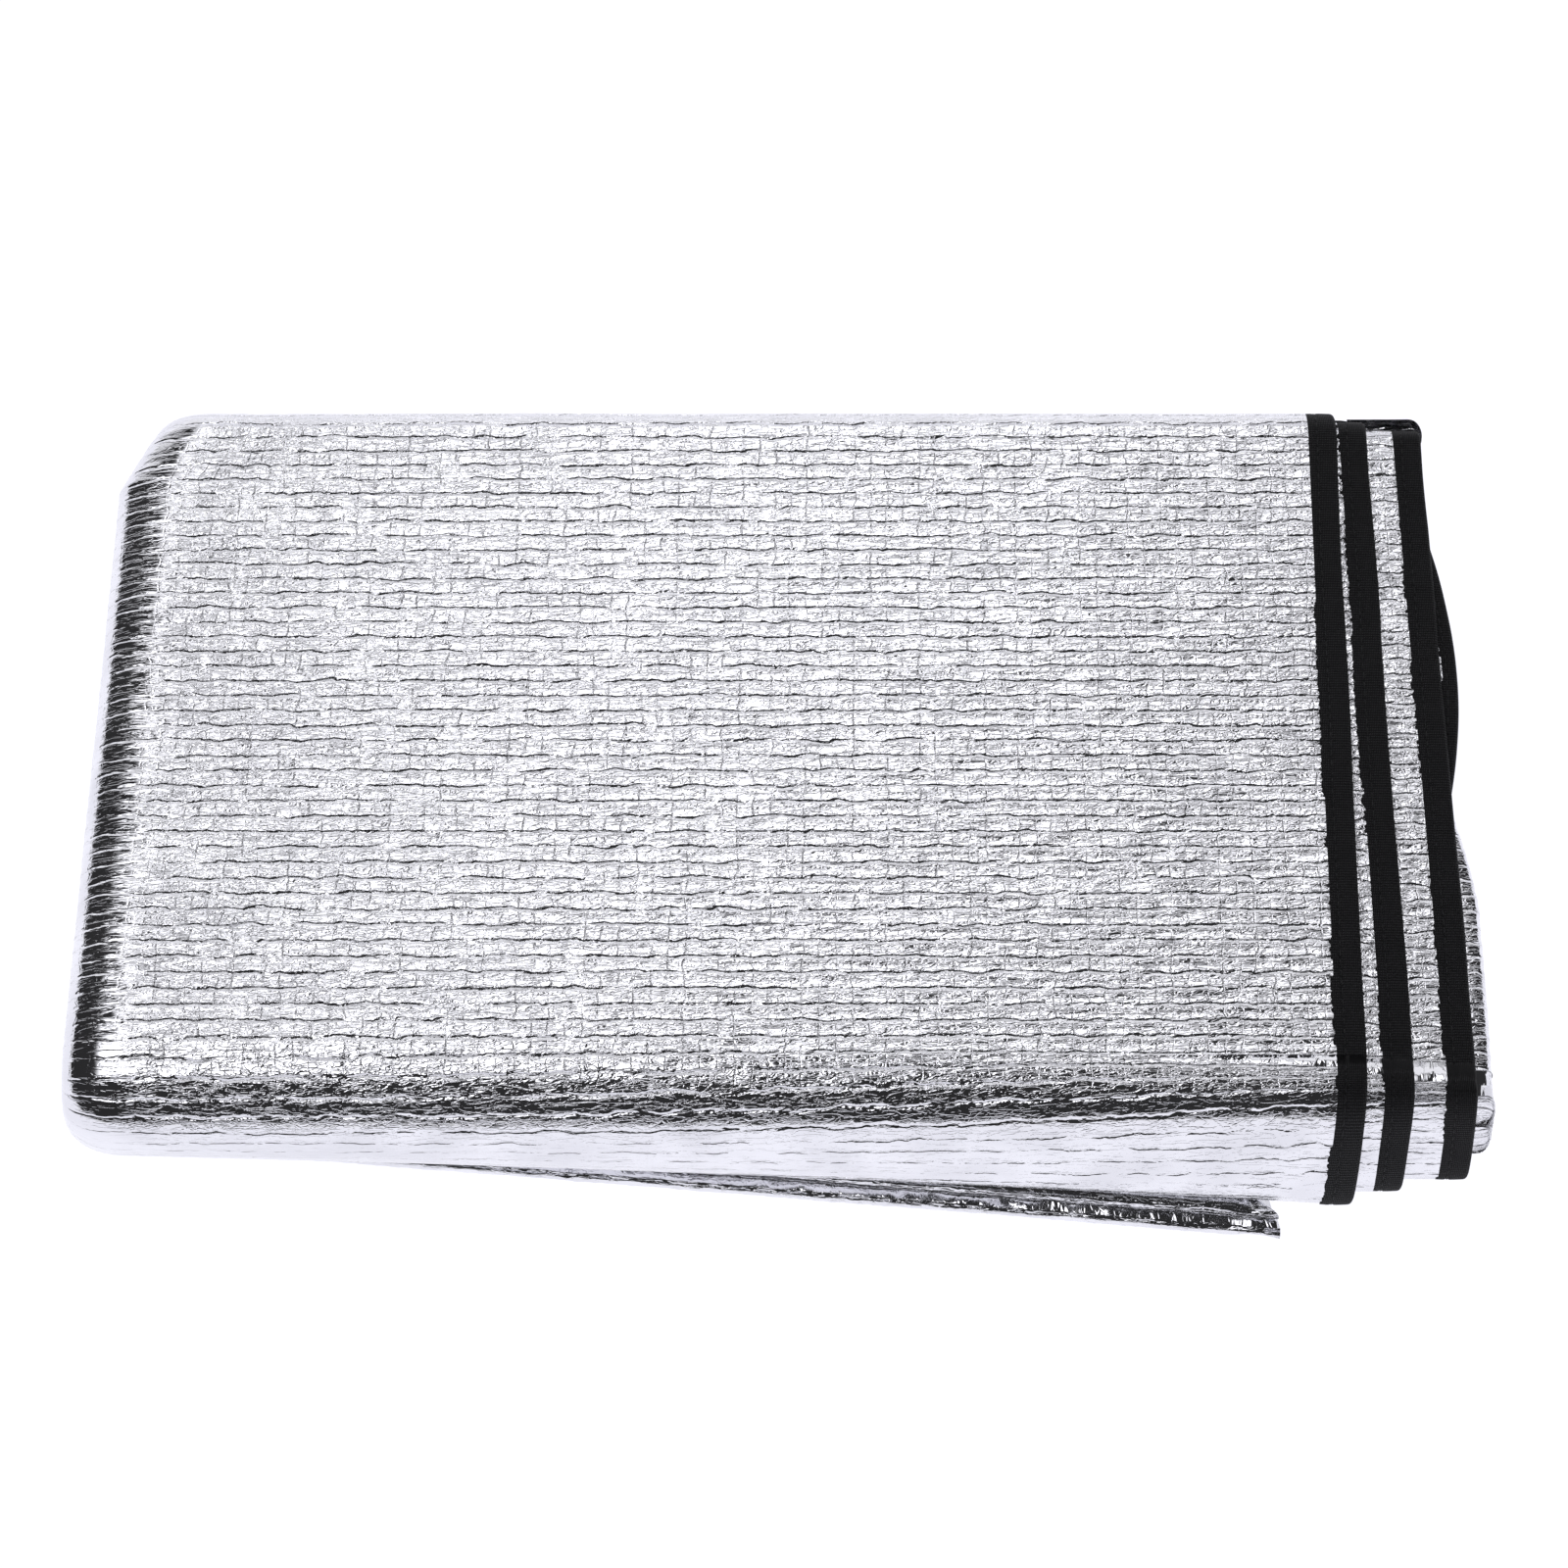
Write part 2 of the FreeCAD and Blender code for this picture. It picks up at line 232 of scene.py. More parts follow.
@dataclass(frozen=True)
class Run:
    """The way an eight-ply packet runs: back bend, flat, front wrap.

    s is the distance along the outermost film, 0 where the back bend ends.  A layer
    is given by its distance from the packet's middle and its angle round the left
    bend, 0 on the upper face and pi on the lower one.
    """

    half: float             # half the packet's height
    middle: float           # height of the packet's middle
    left: float             # where the left bend starts
    back: float             # where the back bend starts
    front: float            # plane of the front fold
    hinge: float            # height of the front fold
    reach: float            # how far the wrap's ends run back past the plane
    right: float            # right end of the wrap
    ply: float              # one thickness of the laminate
    wraps: bool = True      # whether the front wrap belongs to it

    @classmethod
    def from_frame(cls) -> "Run":
        """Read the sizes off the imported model."""
        low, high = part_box("top_outer_film")
        wrap_low, wrap_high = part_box("front_wrap_outer_film")
        radius = (wrap_high.z - wrap_low.z) / 2
        half = (high.z - low.z) / 2
        return cls(half=half, middle=(high.z + low.z) / 2, left=low.x + half, back=high.y + BACK_SWELL,
                   front=wrap_high.y, hinge=(wrap_high.z + wrap_low.z) / 2,
                   reach=wrap_high.y - wrap_low.y - radius, right=wrap_high.x, ply=2 * half / PLIES)

    @property
    def flat(self) -> float:
        """Length of the flat part."""
        return self.back - self.front

    @property
    def radius(self) -> float:
        """Radius of the front wrap's outermost film."""
        return self.middle - self.hinge + self.half

    @property
    def wrap(self) -> float:
        """Length of the front wrap's outermost film."""
        return math.pi * self.radius

    @property
    def end(self) -> float:
        """Where the wrap has come back under the plane of the front fold."""
        return self.flat + self.wrap + self.reach

    def profile(self, x: Array) -> tuple:
        """The front wrap's section at a place along X.

        At the left it is an ellipse that starts to bend before the hinge plane.  To the
        right it grows squarer, starts beyond the plane and leans out lower down.

        Args:
            x: place along X.

        Returns:
            Where the bend starts against the hinge plane, how deep it is, the power that
            squares it, and how far its foot stands out.
        """
        share = np.clip((x - self.left) / (self.right - self.left), 0.0, 1.0)
        start = (12.0 - 16.5 * share ** 2) * MM
        foot = 23.5 * MM * share
        nose = self.radius + (4.7 * share - 2.4) * MM
        return start, nose + start - foot / 2, 0.9 - 0.35 * share, foot

    def place(self, x: Array, radius: Array, phi: Array, s: Array) -> Array:
        """Points of a layer.

        Round the back the layer is a half cylinder about the packet's middle, and at the
        left a ball joins it to the left bend.  There the back corner is cut off and the
        left side slants out to the front.  The front wrap follows profile(x), a half
        ellipse about the hinge raised to a power.

        Args:
            x: place along X, as if the layer had no left bend.
            radius: distance of the layer from the packet's middle.
            phi: angle round the left bend.
            s: distance along the run.

        Returns:
            Points with a last axis of 3.
        """
        x, radius, phi, s = np.broadcast_arrays(x, radius, phi, s)
        psi = np.clip(-s / self.half, 0.0, math.pi / 2)
        level = radius * np.cos(phi)
        side = radius * np.sin(phi) * np.sqrt(1 - np.sin(psi) ** 2 / 2)
        near_left = smooth(self.left - x, -70 * MM, 0.0)
        slant = LEFT_SLANT * np.clip(s / self.flat, 0.0, 1.0)
        corner = BACK_CORNER * np.clip(1 - s / (22 * MM), 0.0, 1.15)
        px = x - side * LEFT_STRETCH + near_left * (corner - slant + self.half * (LEFT_STRETCH - 1))
        flat_y = self.back - np.clip(s, 0.0, self.flat)
        back_y = radius * np.sin(psi) * np.sqrt(1 - np.sin(phi) ** 2 / 2)
        flat_z = self.middle + level * np.cos(psi)
        reach = self.middle - self.hinge + level
        start, deep, square, foot = self.profile(px)
        bend_from = self.flat - start
        theta = math.pi * np.clip((s - bend_from) / (self.flat + self.wrap - bend_from), 0.0, 1.0)
        tail = np.clip((s - self.flat - self.wrap) / self.reach, 0.0, 1.0)
        depth = np.clip(deep - self.radius + reach, 0.0, None)
        power = 2 / square
        grow = (np.abs(np.sin(theta)) ** power + np.abs(np.cos(theta)) ** power) ** (-1 / power)
        rise = np.cos(theta) * grow
        stand = start - foot * (1 - rise * reach / self.radius) / 2
        wrap_y = self.front + stand * (1 - tail) - depth * np.sin(theta) * grow
        wrap_z = self.hinge + reach * rise
        in_wrap = (s > bend_from) & self.wraps
        py = np.where(in_wrap, wrap_y, flat_y + back_y)
        pz = np.where(in_wrap, wrap_z, flat_z)
        return points_of(px, py, pz)


@dataclass(frozen=True)
class Edge:
    """The line of a bound edge: its place along X at a distance along the run."""

    back_x: float
    front_x: float
    bulge: float = 0.0
    bulge_at: float = 0.0
    bulge_half: float = 1.0

    def x(self, s: Array, run: Run) -> Array:
        """A straight line from back_x to front_x, plus a parabola where the ply bulges out."""
        share = np.clip(s / run.flat, 0.0, 1.3)
        y = run.back - s
        rise = self.bulge * np.clip(1 - ((y - self.bulge_at) / self.bulge_half) ** 2, 0.0, None)
        return self.back_x + (self.front_x - self.back_x) * share + rise


TAPE_WIDTH = 12.0 * MM
NARROW_TAPE = 6.5 * MM      # what shows of the lowest tape, which lies tilted
TAPE_WALL = 0.5 * MM
EDGES = (
    Edge(back_x=0.2205, front_x=0.2155),
    Edge(back_x=0.2332, front_x=0.2330),
    Edge(back_x=0.2552, front_x=0.2568),
    Edge(back_x=0.2480, front_x=0.2480, bulge=0.0145, bulge_at=0.042, bulge_half=0.085),
)


# ---- shader groups


def value_node(tree: NodeTree, operation: str, *inputs: object) -> object:
    """A Math node; numbers are set on it and sockets are linked to it.

    Args:
        tree: the node tree.
        operation: the Math node's operation.
        inputs: numbers or output sockets, in order.

    Returns:
        The node's output socket.
    """
    node = tree.nodes.new("ShaderNodeMath")
    node.operation = operation
    for index, item in enumerate(inputs):
        if isinstance(item, (int, float)):
            node.inputs[index].default_value = item
        else:
            tree.links.new(item, node.inputs[index])
    return node.outputs[0]


def noise_node(tree: NodeTree, vector: object, scale: tuple, detail: float = 2.0,
               distortion: float = 0.0) -> object:
    """A noise texture stretched by a Mapping node.

    Args:
        tree: the node tree.
        vector: the coordinate socket.
        scale: cells to a unit along each axis.
        detail: octaves.
        distortion: how far the noise warps itself.

    Returns:
        The Factor output.
    """
    mapping = tree.nodes.new("ShaderNodeMapping")
    mapping.inputs["Scale"].default_value = scale
    tree.links.new(vector, mapping.inputs["Vector"])
    noise = tree.nodes.new("ShaderNodeTexNoise")
    noise.inputs["Scale"].default_value = 1.0
    noise.inputs["Detail"].default_value = detail
    noise.inputs["Distortion"].default_value = distortion
    tree.links.new(mapping.outputs[0], noise.inputs["Vector"])
    return noise.outputs[0]


def range_node(tree: NodeTree, value: object, low: float, high: float, to_low: float = 0.0,
               to_high: float = 1.0) -> object:
    """Map a value from one range to another with a soft S, held at the ends."""
    node = tree.nodes.new("ShaderNodeMapRange")
    node.interpolation_type = "SMOOTHSTEP"
    tree.links.new(value, node.inputs["Value"])
    for name, number in (("From Min", low), ("From Max", high), ("To Min", to_low), ("To Max", to_high)):
        node.inputs[name].default_value = number
    return node.outputs[0]


def new_group(name: str, inputs: dict, outputs: tuple) -> tuple:
    """A shader node group with named sockets.

    Args:
        name: the group's name.
        inputs: name to default value of each float input.
        outputs: names of the float outputs.

    Returns:
        The group, its input node and its output node.
    """
    group = bpy.data.node_groups.new(name, "ShaderNodeTree")
    group.interface.new_socket(name="Vector", in_out="INPUT", socket_type="NodeSocketVector")
    for key, default in inputs.items():
        socket = group.interface.new_socket(name=key, in_out="INPUT", socket_type="NodeSocketFloat")
        socket.default_value = default
    for key in outputs:
        group.interface.new_socket(name=key, in_out="OUTPUT", socket_type="NodeSocketFloat")
    return group, group.nodes.new("NodeGroupInput"), group.nodes.new("NodeGroupOutput")


class PressedFilm:
    """Group: the pressed lines and fine creases of the film, from its UV map.

    Lines: the distance to the nearest line of the cell grid, wobbled by noise and
    broken where another noise is low.  Creases: ridged noise drawn out along X.
    Both fade where the film is drawn taut: round the front wrap and the left bend.
    """

    name = "pressed_film"
    taut_front = (2.78, 2.98)   # UV places between which the film grows taut
    taut_left = (4.55, 4.75)

    @classmethod
    def build(cls) -> NodeTree:
        """Make the group."""
        tree, given, out = new_group(cls.name, {}, ("Height", "Tone"))
        vector = given.outputs["Vector"]
        split = tree.nodes.new("ShaderNodeSeparateXYZ")
        tree.links.new(vector, split.inputs[0])
        wobble = noise_node(tree, vector, (9.0, 14.0, 1.0), 3.0)
        pitch = CELL / UV_UNIT
        shift = value_node(tree, "MULTIPLY", value_node(tree, "SUBTRACT", wobble, 0.5), pitch * 0.75)
        v = value_node(tree, "ADD", split.outputs[1], shift)
        u = value_node(tree, "ADD", split.outputs[0], shift)
        along = cls.line(tree, v, pitch, 0.15)
        across = cls.line(tree, u, pitch, 0.07)
        broken = range_node(tree, noise_node(tree, vector, (7.0, 19.0, 1.0), 2.0), 0.36, 0.60, 0.15, 1.0)
        faint = range_node(tree, noise_node(tree, vector, (11.0, 11.0, 1.0), 1.0), 0.45, 0.65, 0.02, 0.10)
        lines = value_node(tree, "ADD", value_node(tree, "MULTIPLY", along, broken),
                           value_node(tree, "MULTIPLY", across, faint))
        taut = value_node(tree, "MULTIPLY", range_node(tree, split.outputs[1], *cls.taut_front, 1.0, 0.42),
                          range_node(tree, split.outputs[0], *cls.taut_left, 1.0, 0.35))
        lines = value_node(tree, "MULTIPLY", lines, taut)
        long = range_node(tree, cls.ridge(tree, noise_node(tree, vector, (9.0, 40.0, 1.0), 2.0, 0.8)),
                          0.0, 0.06, 1.0, 0.0)
        short = range_node(tree, cls.ridge(tree, noise_node(tree, vector, (22.0, 58.0, 1.0), 1.5, 0.8)),
                           0.0, 0.07, 1.0, 0.0)
        swell = noise_node(tree, vector, (16.0, 34.0, 1.0), 2.0, 0.5)
        creases = value_node(tree, "ADD", value_node(tree, "MULTIPLY", long, -0.26),
                             value_node(tree, "MULTIPLY", short, -0.14))
        creases = value_node(tree, "ADD", creases, value_node(tree, "MULTIPLY", swell, 0.40))
        creases = value_node(tree, "MULTIPLY", creases, taut)
        height = value_node(tree, "SUBTRACT", creases, value_node(tree, "MULTIPLY", lines, 2.2))
        tree.links.new(height, out.inputs["Height"])
        tone = noise_node(tree, vector, (3.0, 4.0, 1.0), 3.0)
        tree.links.new(range_node(tree, tone, 0.3, 0.7, 0.0, 1.0), out.inputs["Tone"])
        return tree

    @classmethod
    def line(cls, tree: NodeTree, coordinate: object, pitch: float, width: float) -> object:
        """1 on the lines of a grid and 0 away from them.

        Args:
            tree: the node tree.
            coordinate: the coordinate that the lines cross.
            pitch: distance between lines.
            width: half width of a line, as a share of the pitch.

        Returns:
            The mask.
        """
        cells = value_node(tree, "DIVIDE", coordinate, pitch)
        return range_node(tree, cls.ridge(tree, value_node(tree, "FRACT", cells)), 0.0, width, 1.0, 0.0)

    @staticmethod
    def ridge(tree: NodeTree, value: object) -> object:
        """A value from 0 to 1 folded at its middle, so that it has sharp valleys."""
        return value_node(tree, "ABSOLUTE", value_node(tree, "SUBTRACT", value, 0.5))


class PressedDots:
    """Group: rows of small pressed diamonds, the product of two slanting waves."""

    name = "pressed_dots"

    @classmethod
    def build(cls) -> NodeTree:
        """Make the group."""
        tree, given, out = new_group(cls.name, {"Pitch": 0.013}, ("Height", "Fluff"))
        vector = given.outputs["Vector"]
        split = tree.nodes.new("ShaderNodeSeparateXYZ")
        tree.links.new(vector, split.inputs[0])
        turn = value_node(tree, "DIVIDE", math.pi * 2, given.outputs["Pitch"])
        waves = []
        for sign in (1.0, -1.0):
            slant = value_node(tree, "ADD", split.outputs[0],
                               value_node(tree, "MULTIPLY", split.outputs[1], 0.62 * sign))
            waves.append(value_node(tree, "COSINE", value_node(tree, "MULTIPLY", slant, turn)))
        product = value_node(tree, "MULTIPLY", *waves)
        tree.links.new(range_node(tree, product, -0.1, 0.9, 0.0, 1.0), out.inputs["Height"])
        tree.links.new(noise_node(tree, vector, (150.0, 150.0, 1.0), 3.0), out.inputs["Fluff"])
        return tree


# ---- finishes


def principled(material: Material) -> object:
    """The Principled BSDF of a new node material."""
    material.use_nodes = True
    return material.node_tree.nodes["Principled BSDF"]


def film_coordinate(tree: NodeTree) -> object:
    """The piece's own UV map."""
    node = tree.nodes.new("ShaderNodeUVMap")
    node.uv_map = "film"
    return node.outputs[0]


def group_node(tree: NodeTree, name: str, vector: object, **values: float) -> object:
    """A group placed in a material with its own values."""
    node = tree.nodes.new("ShaderNodeGroup")
    node.node_tree = bpy.data.node_groups[name]
    tree.links.new(vector, node.inputs["Vector"])
    for key, number in values.items():
        node.inputs[key].default_value = number
    return node


def bump(tree: NodeTree, height: object, distance: float, target: object) -> None:
    """Feed a height through a Bump node into a shader's Normal."""
    node = tree.nodes.new("ShaderNodeBump")
    node.inputs["Distance"].default_value = distance
    node.inputs["Strength"].default_value = 1.0
    tree.links.new(height, node.inputs["Height"])
    tree.links.new(node.outputs[0], target.inputs["Normal"])


def color_mix(tree: NodeTree, factor: object, low: tuple, high: tuple) -> object:
    """A colour between two, by a factor."""
    node = tree.nodes.new("ShaderNodeMix")
    node.data_type = "RGBA"
    node.inputs["A"].default_value = (*low, 1.0)
    node.inputs["B"].default_value = (*high, 1.0)
    tree.links.new(factor, node.inputs["Factor"])
    return node.outputs["Result"]


@dataclass(frozen=True)
class FilmFinish:
    """Bright metallised film: mirror-like, creased and pressed with cells."""

    name: str
    depth: float = 0.42 * MM
    dark: tuple = (0.73, 0.73, 0.76)
    light: tuple = (0.84, 0.84, 0.87)

    def make(self) -> Material:
        """Build the material."""
        material = bpy.data.materials.new(self.name)
        shader = principled(material)
        tree = material.node_tree
        film = group_node(tree, PressedFilm.name, film_coordinate(tree))
        tone = film.outputs["Tone"]
        tree.links.new(color_mix(tree, tone, self.dark, self.light), shader.inputs["Base Color"])
        shader.inputs["Metallic"].default_value = 1.0
        tree.links.new(range_node(tree, tone, 0.0, 1.0, 0.06, 0.11), shader.inputs["Roughness"])
        bump(tree, film.outputs["Height"], self.depth, shader)
        return material


@dataclass(frozen=True)
class TapeFinish:
    """Black non-woven tape with pressed dots."""

    name: str
    base: tuple = (0.006, 0.006, 0.007)
    dot: tuple = (0.034, 0.034, 0.037)

    def make(self) -> Material:
        """Build the material."""
        material = bpy.data.materials.new(self.name)
        shader = principled(material)
        tree = material.node_tree
        dots = group_node(tree, PressedDots.name, film_coordinate(tree), Pitch=0.0135)
        raised = dots.outputs["Height"]
        tree.links.new(color_mix(tree, raised, self.base, self.dot), shader.inputs["Base Color"])
        tree.links.new(range_node(tree, raised, 0.0, 1.0, 0.85, 0.55), shader.inputs["Roughness"])
        shader.inputs["Specular IOR Level"].default_value = 0.35
        height = value_node(tree, "ADD", raised, value_node(tree, "MULTIPLY", dots.outputs["Fluff"], 0.5))
        bump(tree, height, 0.18 * MM, shader)
        return material


@dataclass(frozen=True)
class GrainFinish:
    """A finish with an even grain on Object coordinates: foam cells, thread or floor."""

    name: str
    low: tuple
    high: tuple
    grain: float
    depth: float
    roughness: float

    def make(self) -> Material:
        """Build the material."""
        material = bpy.data.materials.new(self.name)
        shader = principled(material)
        tree = material.node_tree
        place = tree.nodes.new("ShaderNodeTexCoord").outputs["Object"]
        noise = noise_node(tree, place, (self.grain,) * 3, 4.0)
        tree.links.new(color_mix(tree, noise, self.low, self.high), shader.inputs["Base Color"])
        shader.inputs["Roughness"].default_value = self.roughness
        bump(tree, noise, self.depth, shader)
        return material


class Finishes:
    """Every finish, built once."""

    def __init__(self) -> None:
        """Build the groups and then the materials that use them."""
        PressedFilm.build()
        PressedDots.build()
        self.film = FilmFinish("bright_film").make()
        self.tape = TapeFinish("black_tape").make()
        self.foam = GrainFinish("white_foam", (0.78, 0.78, 0.80), (0.92, 0.92, 0.93),
                                900.0, 0.2 * MM, 0.8).make()
        self.thread = GrainFinish("black_thread", (0.008, 0.008, 0.009), (0.03, 0.03, 0.033),
                                  2500.0, 0.05 * MM, 0.7).make()
        self.floor = bpy.data.materials.new("pale_floor")
        shader = principled(self.floor)
        shader.inputs["Base Color"].default_value = (0.1, 0.1, 0.1, 1.0)
        shader.inputs["Roughness"].default_value = 1.0
        shader.inputs["Specular IOR Level"].default_value = 0.0
        shader.inputs["Emission Color"].default_value = (0.93, 0.93, 1.0, 1.0)
        shader.inputs["Emission Strength"].default_value = 1.09


def dress(piece: Object, material: Material) -> Object:
    """Give a piece its material."""
    piece.data.materials.clear()
    piece.data.materials.append(material)
    return piece


# ---- the pack's pieces


class Relief:
    """How far the film stands in or out, in metres, at a place on the laminate."""

    def __init__(self, seed: int) -> None:
        """Seed the noises."""
        self.fine = Noise(seed)
        self.broad = Noise(seed + 1)

    def at(self, c: Array, s: Array) -> Array:
        """Puffed cells, creases drawn out across the pack, and slow waves.

        Args:
            c: distance across.
            s: distance along.

        Returns:
            Heights along the outward normal.
        """
        drift = 0.9 * MM * self.broad.at(c / (40 * MM), s / (30 * MM))
        upright = 0.65 + 0.35 * np.abs(np.sin(math.pi * (c + drift) / CELL))
        cells = np.abs(np.sin(math.pi * (s + drift) / CELL)) * upright
        puff = 0.20 * MM * np.sqrt(cells)
        crease = np.abs(self.fine.octaves(c / (13 * MM), s / (3.4 * MM), 2))
        crumple = self.fine.at(c / (5 * MM) + 91.0, s / (4 * MM))
        wave = self.broad.octaves(c / (110 * MM) + 31.0, s / (70 * MM), 2)
        return puff - 0.13 * MM * crease + 0.07 * MM * crumple + 0.40 * MM * wave

    def crumple(self, c: Array, s: Array) -> Array:
        """Sharp folds that run every way, as the film buckles round a tight bend."""
        drawn = np.abs(self.fine.octaves(c / (6 * MM) + s / (9 * MM), s / (4 * MM) - c / (7 * MM), 3))
        return -0.34 * MM * drawn


@dataclass
class PackSide:
    """One eight-ply packet seen as layers of film, with its tapes, folds and ends.

    The upper packet carries the front wrap.  The middle packet is its mirror image
    about the hinge, without a wrap.
    """

    name: str
    body: str
    run: Run
    finishes: Finishes
    mirrored: bool
    bend_step: float = 2.2 * MM
    across_step: float = 2.2 * MM
    under_step: float = 9.0 * MM
    along_step: float = 0.9 * MM
    stitch_pitch: float = 4.0 * MM

    def __post_init__(self) -> None:
        """Work out where the packet's layers start and end along the run."""
        self.relief = Relief(7 if self.mirrored else 3)
        quarter = math.pi / 2 * self.run.half
        self.start = self.run.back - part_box("middle_outer_film")[1].y if self.mirrored else -quarter
        self.stop = self.run.flat - 0.4 * MM if self.mirrored else self.run.end

    def shape(self, points: Array) -> Array:
        """Turn points of the upper packet into this packet's."""
        if not self.mirrored:
            return points
        turned = points.copy()
        turned[..., 2] = 2 * self.run.hinge - turned[..., 2]
        return turned

    def attach(self, piece: Object) -> Object:
        """Parent a middle-packet piece to its body; an upper-packet piece, which runs round the wrap, has its
        transform baked and follows no body.
        """
        if self.mirrored:
            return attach(piece, self.body)
        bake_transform(piece)
        return piece

    def film(self, piece: Object) -> Object:
        """Finish a piece of film that follows the packet."""
        dress(piece, self.finishes.film)
        return self.attach(piece)

    def surface(self, name: str, x: Array, radius: Array, phi: Array, s: Array, c: Array,
                height: Array) -> Object:
        """A grid of the laminate, raised along its normals.

        Args:
            name: the piece's name.
            x: place along X of each column, rows by columns.
            radius: layer's distance from the packet's middle.
            phi: angle round the left bend.
            s: distance along, one for each row.
            c: distance across, for the UV map.
            height: how far each point is raised.

        Returns:
            The piece, dressed by the caller.
        """
        points = self.run.place(x, radius, phi, s[:, None])
        points = self.shape(points + surface_normals(points) * height[..., None])
        quads = grid_quads(*x.shape, flip=self.mirrored)
        return mesh_object(name, points.reshape(-1, 3), quads, film_uv(c, s[:, None]))

    def skin(self) -> Object:
        """The outermost film: over the top, round the left bend and back underneath."""
        run = self.run
        rows = spaced(self.start, self.stop, self.along_step * (2 if self.mirrored else 1))
        width = EDGES[0].back_x - run.left
        right = EDGES[0].x(rows, run) - TAPE_WIDTH + SHOWN_UNDER
        share = np.linspace(1.0, 0.0, int(width / self.across_step))
        bend = spaced(0.0, math.pi, self.bend_step / run.half)[1:]
        under = spaced(run.left, run.right + 30 * MM, self.under_step)[1:]
        top_x = run.left + (right[:, None] - run.left) * share
        x = np.concatenate([top_x, np.full((len(rows), len(bend)), run.left),
                            np.broadcast_to(under, (len(rows), len(under)))], axis=1)
        phi = np.concatenate([share * 0, bend, np.full(len(under), math.pi)])
        c = np.concatenate([(1 - share) * width, width + bend * run.half,
                            width + math.pi * run.half + under - run.left])
        height = self.skin_height(c, rows, share, len(bend), len(under))
        radius = np.full(x.shape, run.half)
        radius[:, -1] -= 1.6 * MM
        piece = self.surface(f"{self.name}_skin", x, radius, phi, rows, c, height)
        if not self.mirrored:
            weld(piece, 0.02 * MM)
        return self.film(piece)

    def skin_height(self, c: Array, rows: Array, share: Array, bend: int,
                    under: int) -> Array:
        """How far the skin is raised: less round the wrap, sunk below it and flat underneath.

        Args:
            c: distance across of each column.
            rows: distance along of each row.
            share: share of the upper face's width at each of its columns.
            bend: columns round the left bend.
            under: columns underneath.

        Returns:
            Heights along the outward normal, rows by columns.
        """
        run = self.run
        grid = np.meshgrid(c, rows)
        strength = np.concatenate([share * 0 + 1, np.linspace(0.8, 0.4, bend), np.full(under, 0.2)])
        tight = 1 - 0.6 * smooth(rows, run.flat - 6 * MM, run.flat + 12 * MM)
        below = smooth(rows, run.flat + 0.82 * run.wrap, run.flat + 0.97 * run.wrap)[:, None]
        height = PROUD + self.relief.at(*grid) * strength * tight[:, None]
        height = height * (1 - below) - 1.0 * MM * below
        around = 0.3 * np.concatenate([smooth(share, 0.06, 0.0), np.ones(bend), np.zeros(under)])
        shoulder = 0.4 * np.exp(-((rows - run.flat - 10 * MM) / (7 * MM)) ** 2)[:, None]
        height += self.relief.crumple(*grid) * np.maximum(around, shoulder) * (1 - below)
        height[:, len(share) + bend:] = 0.0
        return height

    def margin(self, index: int, width: float) -> Object:
        """The film of a lower ply, where it shows between the tape above it and its own.

        Args:
            index: ply, 0 outermost.
            width: width of its tape on the face.

        Returns:
            The piece.
        """
        run = self.run
        rows = spaced(self.start, self.stop, self.along_step)
        left = EDGES[index - 1].x(rows, run) - 5 * MM
        right = np.maximum(EDGES[index].x(rows, run) - width + SHOWN_UNDER, left + 1 * MM)
        share = np.linspace(1.0, 0.0, 14)
        x = left[:, None] + (right - left)[:, None] * share
        radius = run.half - run.ply * index
        c = (1 - share) * 20 * MM + 60 * MM * index
        height = PROUD + self.relief.at(*np.meshgrid(c, rows))
        piece = self.surface(f"{self.name}_margin_{index + 1}", x, radius, 0.0, rows, c, height)
        return self.film(piece)

    def tape_profile(self, width: float) -> tuple:
        """The tape's closed section: offsets from the bound edge and from the ply's middle.

        The top is flat with a sunk seam a third of the way in, the edge is a half round
        and the underside is flat.

        Args:
            width: width of the tape on the face.

        Returns:
            Offsets along X and offsets outwards, and the mask of the inner edge.
        """
        half = self.run.ply / 2
        top = np.linspace(-width, -half, 17)
        seam = -width * 2 / 3
        crown = TAPE_WALL + 0.12 * MM * np.sin(math.pi * (top + width) / (width - half))
        crown = crown - 0.38 * MM * np.exp(-((top - seam) / (0.55 * MM)) ** 2)
        turn = np.linspace(math.pi / 2, -math.pi / 2, 9)[1:-1]
        round_x = -half + (half + 0.1 * MM) * np.cos(turn)
        round_h = (half + TAPE_WALL / 2) * np.sin(turn) + TAPE_WALL / 2
        under = np.linspace(-half, -width, 5)
        t = np.concatenate([top, round_x, under])
        h = np.concatenate([half + crown, round_h, under * 0 - half])
        inner = np.concatenate([[1.0], top[1:] * 0, round_x * 0, under[:-1] * 0, [1.0]])
        return t, h, inner

